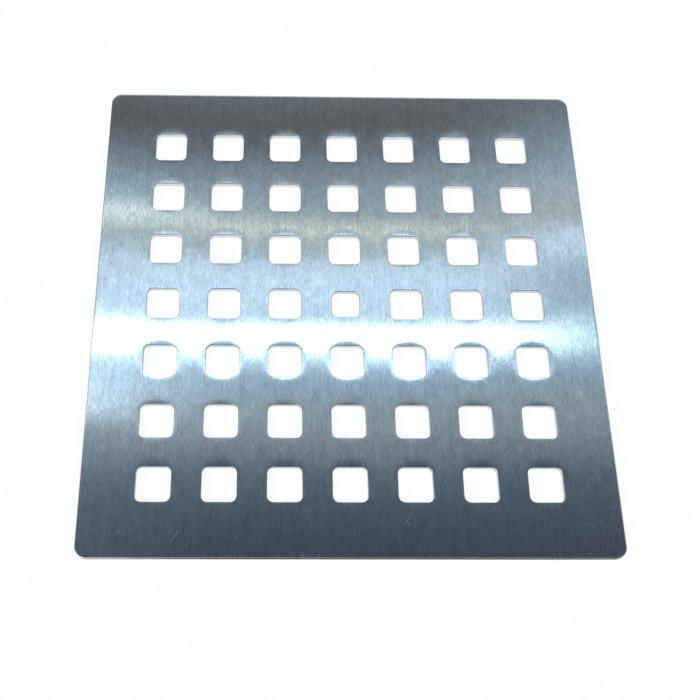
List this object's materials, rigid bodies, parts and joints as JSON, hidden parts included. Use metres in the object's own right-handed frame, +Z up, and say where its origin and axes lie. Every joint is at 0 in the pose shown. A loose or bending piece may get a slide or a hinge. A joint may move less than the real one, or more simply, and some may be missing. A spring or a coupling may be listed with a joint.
{
  "type": "shower drain grate",
  "caption": "Flat square stainless steel drain cover with rounded corners and a regular grid of punched square holes that let water through.",
  "frame": {"origin": "middle of the underside, which rests on the ledge of the drain", "axes": "+Z up from the face that is walked on, X and Y along the sides, with the brushed lines along Y"},
  "size_m": [0.115, 0.115, 0.0015],
  "materials": {
    "brushed_stainless": "brushed in straight lines along Y"
  },
  "bodies": {
    "root": {"grate_plate": "brushed_stainless"}
  },
  "joints": []
}
